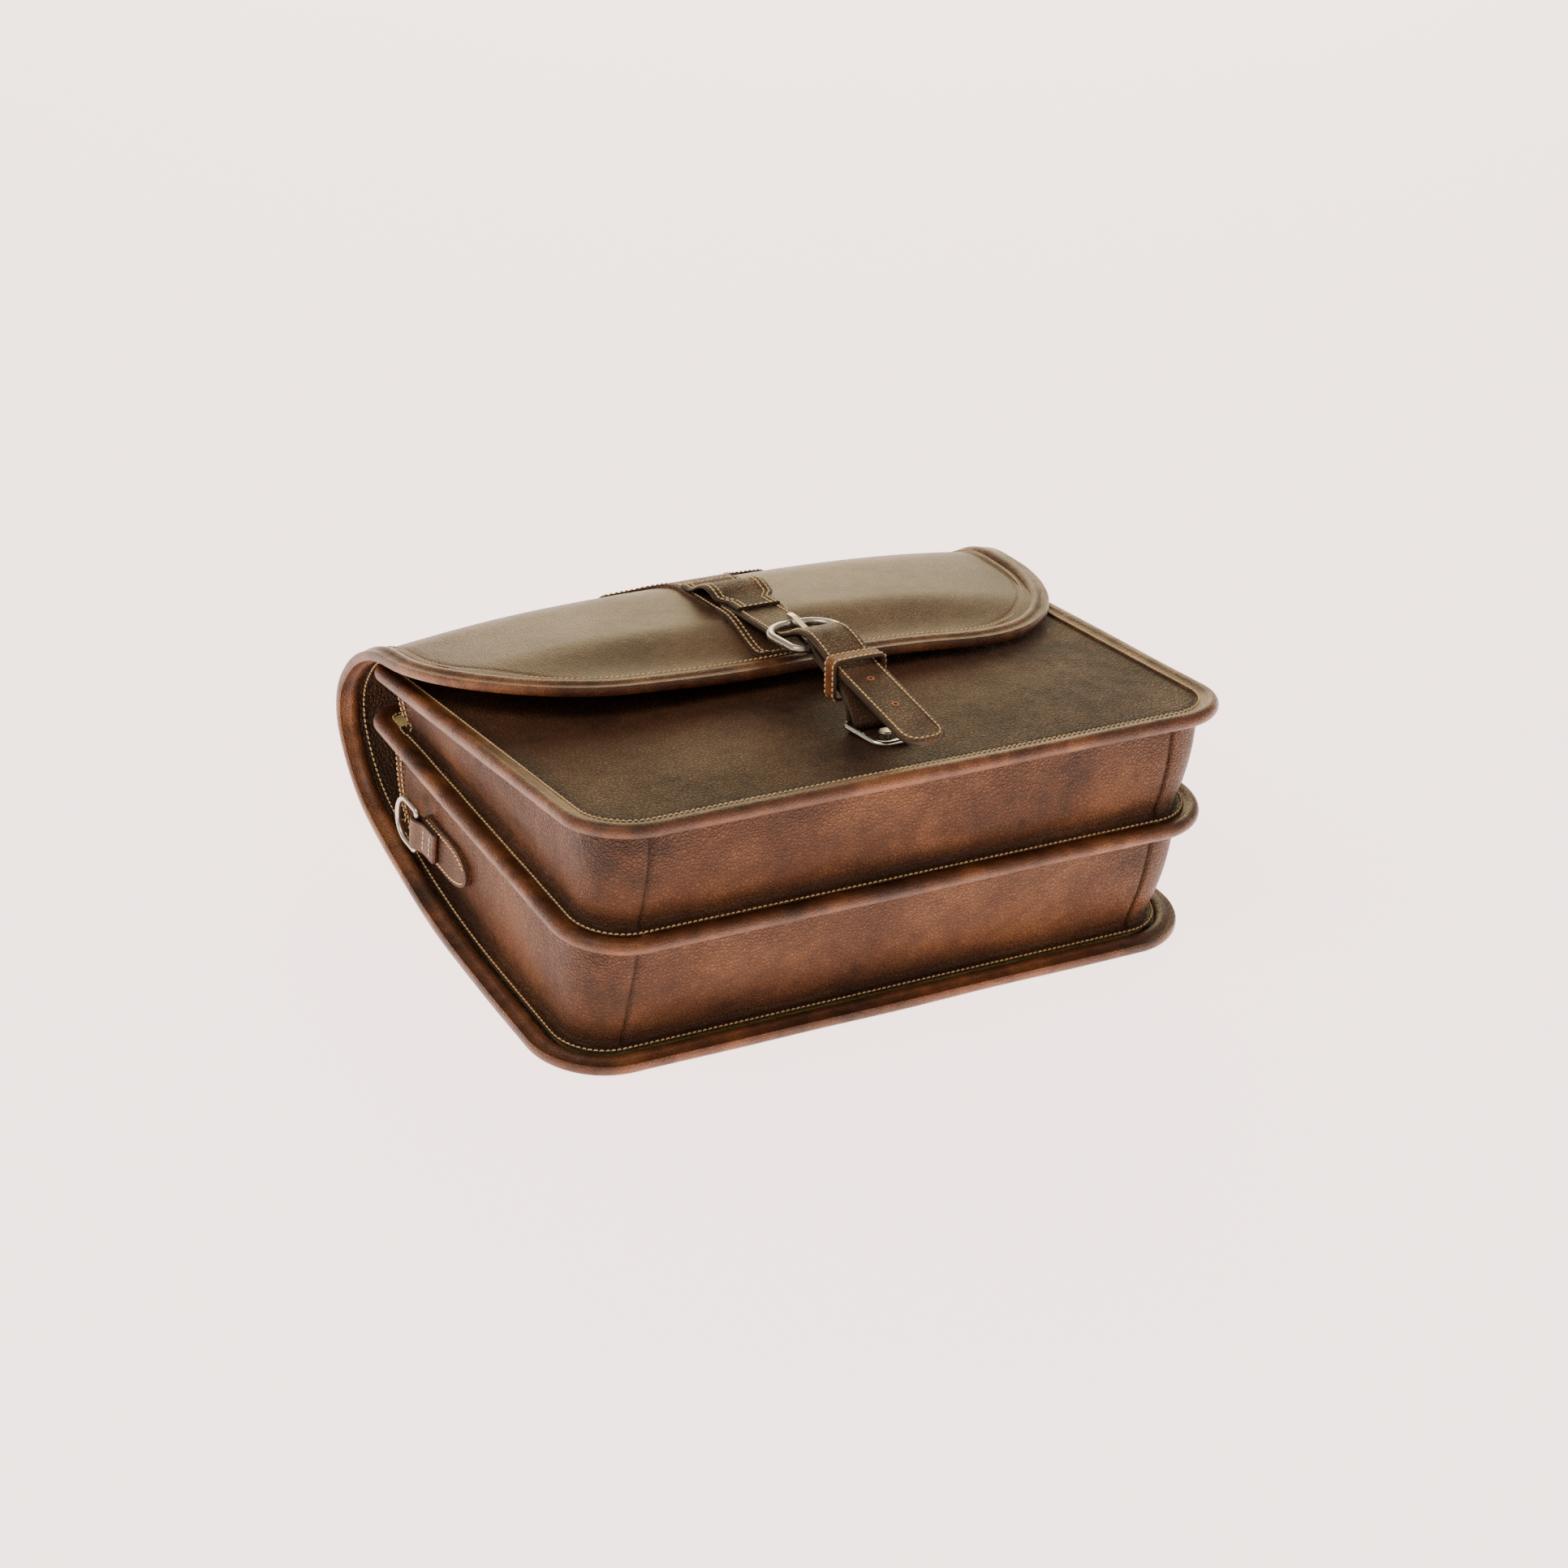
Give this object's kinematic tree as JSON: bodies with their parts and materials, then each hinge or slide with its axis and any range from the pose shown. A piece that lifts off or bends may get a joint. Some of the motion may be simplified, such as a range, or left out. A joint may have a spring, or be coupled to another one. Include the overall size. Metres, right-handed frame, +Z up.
{
  "type": "leather briefcase",
  "caption": "Soft brown leather flap-over briefcase lying on its back, with gusseted pockets, rolled bindings, a buckled closure strap, a handle and shoulder-strap rings.",
  "frame": {"origin": "on the flat underside of the back, on the middle line, 95 mm in front of the back's bottom edge", "axes": "+X across the width, +Y from the bag's bottom towards the fold over its mouth, +Z up out of the front panel"},
  "size_m": [0.429, 0.3796, 0.1945],
  "materials": {
    "shell_leather": "pebbled, hand-stained, satin",
    "flap_leather": "smooth, waxed, satin",
    "trim_leather": "smooth, burnished, semi-gloss",
    "strap_leather": "smooth, burnished edges, satin",
    "lining": "suede, matt",
    "board": "matt",
    "nickel": "antique nickel, worn polish"
  },
  "bodies": {
    "case": {"back_panel": "shell_leather", "back_lining": "lining", "back_binding": "trim_leather", "rear_gusset_left": "shell_leather", "rear_gusset_bottom": "shell_leather", "rear_gusset_right": "shell_leather", "front_gusset_left": "shell_leather", "front_gusset_bottom": "shell_leather", "front_gusset_right": "shell_leather", "rear_hem_left": "trim_leather", "rear_hem_right": "trim_leather", "front_hem_left": "trim_leather", "front_hem_right": "trim_leather", "divider_lining": "lining", "divider_board": "board", "divider_leather": "shell_leather", "divider_binding": "trim_leather", "front_lining": "lining", "front_board": "board", "front_leather": "shell_leather", "front_binding": "trim_leather", "ring_patch_left": "strap_leather", "ring_patch_right": "strap_leather", "ring_tab_left": "strap_leather", "ring_tab_right": "strap_leather", "clasp_stud": "nickel"},
    "flap_lower": {"flap_leather_lower": "flap_leather", "flap_lining_lower": "lining", "flap_binding_lower_left": "trim_leather", "flap_binding_lower_right": "trim_leather"},
    "flap_upper": {"flap_leather_upper": "flap_leather", "flap_lining_upper": "lining", "flap_binding_upper_left": "trim_leather", "flap_binding_upper_right": "trim_leather", "handle_base": "strap_leather", "handle_mount_left": "nickel", "handle_mount_right": "nickel"},
    "flap_front": {"flap_leather_front": "flap_leather", "flap_lining_front": "lining", "flap_binding_front": "trim_leather", "strap_base": "strap_leather", "strap_bridge": "strap_leather", "strap_anchor": "strap_leather"},
    "handle": {"handle_grip": "strap_leather"},
    "closure_strap": {"strap_billet": "strap_leather", "buckle_frame": "nickel", "strap_chape": "strap_leather", "strap_keeper": "strap_leather"},
    "prong": {"buckle_prong": "nickel"},
    "clip": {"clasp_clip": "nickel"},
    "ring_left": {"shoulder_ring_left": "nickel"},
    "ring_right": {"shoulder_ring_right": "nickel"}
  },
  "joints": [
    {"name": "fold_lower", "type": "hinge", "parent": "case", "child": "flap_lower", "pos_m": [0, 0.16988, 0.02323], "axis": [-1, 0, 0], "range_deg": [0, 40]},
    {"name": "fold_upper", "type": "hinge", "parent": "flap_lower", "child": "flap_upper", "pos_m": [0, 0.21814, 0.06038], "axis": [-1, 0, 0], "range_deg": [0, 52]},
    {"name": "flap_bend", "type": "hinge", "parent": "flap_upper", "child": "flap_front", "pos_m": [0, 0.21956, 0.101], "axis": [-1, 0, 0], "range_deg": [0, 80]},
    {"name": "strap_lift", "type": "hinge", "parent": "flap_front", "child": "closure_strap", "pos_m": [0, 0.09496, 0.16942], "axis": [-1, 0, 0], "range_deg": [0, 50]},
    {"name": "prong_pivot", "type": "hinge", "parent": "closure_strap", "child": "prong", "pos_m": [0, 0.01459, 0.18437], "axis": [1, 0, 0], "range_deg": [0, 12]},
    {"name": "clip_swing", "type": "hinge", "parent": "closure_strap", "child": "clip", "pos_m": [0, -0.03929, 0.16218], "axis": [-1, 0, 0], "range_deg": [0, 30]},
    {"name": "handle_swing", "type": "hinge", "parent": "flap_upper", "child": "handle", "pos_m": [0, 0.23217, 0.08192], "axis": [1, 0, 0], "range_deg": [0, 60]},
    {"name": "ring_left_swing", "type": "hinge", "parent": "case", "child": "ring_left", "pos_m": [-0.21025, 0.117, 0.04495], "axis": [0, 0, 1], "range_deg": [0, 150]},
    {"name": "ring_right_swing", "type": "hinge", "parent": "case", "child": "ring_right", "pos_m": [0.21025, 0.117, 0.04495], "axis": [0, 0, -1], "range_deg": [0, 150]}
  ],
  "couplings": [
    {"joint": "fold_upper", "follows": "fold_lower", "ratio": 1.3},
    {"joint": "flap_bend", "follows": "fold_lower", "ratio": 2}
  ]
}
